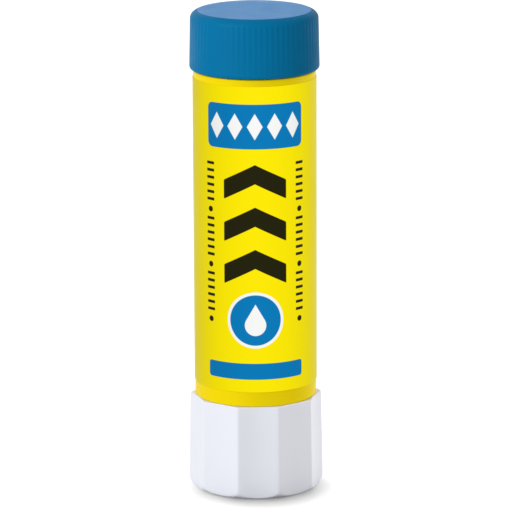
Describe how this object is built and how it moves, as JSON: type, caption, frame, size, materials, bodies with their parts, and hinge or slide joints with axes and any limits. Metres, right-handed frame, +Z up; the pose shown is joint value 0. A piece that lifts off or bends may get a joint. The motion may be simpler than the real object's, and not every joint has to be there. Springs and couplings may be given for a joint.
{
  "type": "glue stick",
  "caption": "Twist-up glue stick with a ribbed blue screw cap, yellow labelled barrel and white fluted knob.",
  "frame": {"origin": "middle of the knob's foot ring, on the surface that the stick stands on", "axes": "+Z up the stick from the knob to the cap; -Y is the side that the picture shows"},
  "size_m": [0.028, 0.027, 0.1],
  "materials": {
    "barrel_plastic": "injection-moulded polypropylene, satin to glossy, opaque yellow",
    "label_film": "glossy printed film, yellow with blue and black blocks",
    "knob_plastic": "injection-moulded polypropylene, satin white",
    "mechanism_plastic": "natural white polypropylene, as moulded",
    "glue_paste": "waxy blue-tinted glue paste, soft satin",
    "cap_plastic": "injection-moulded polypropylene, satin blue, fine vertical ribs",
    "seal_foam": "soft closed-cell foam, matt"
  },
  "bodies": {
    "barrel": {"barrel": "barrel_plastic", "label": "label_film"},
    "knob": {"knob": "knob_plastic", "spindle": "mechanism_plastic"},
    "carrier": {"carrier": "mechanism_plastic", "glue": "glue_paste"},
    "cap_seal": {"cap_seal": "seal_foam"},
    "cap": {"cap": "cap_plastic"}
  },
  "joints": [
    {"name": "knob_turn", "type": "hinge", "parent": "barrel", "child": "knob", "pos_m": [0, 0, 0], "axis": [0, 0, 1], "range_deg": [0, 4320]},
    {"name": "carrier_rise", "type": "slide", "parent": "barrel", "child": "carrier", "axis": [0, 0, 1], "range_m": [0, 0.054]},
    {"name": "cap_lift", "type": "slide", "parent": "barrel", "child": "cap_seal", "axis": [0, 0, 1], "range_m": [0, 0.018]},
    {"name": "cap_turn", "type": "hinge", "parent": "cap_seal", "child": "cap", "pos_m": [0, 0, 0.1], "axis": [0, 0, 1], "range_deg": [0, 1080]}
  ],
  "couplings": [
    {"joint": "knob_turn", "follows": "carrier_rise", "rad_per_m": 1396.3},
    {"joint": "cap_turn", "follows": "cap_lift", "rad_per_m": 1047.2}
  ]
}
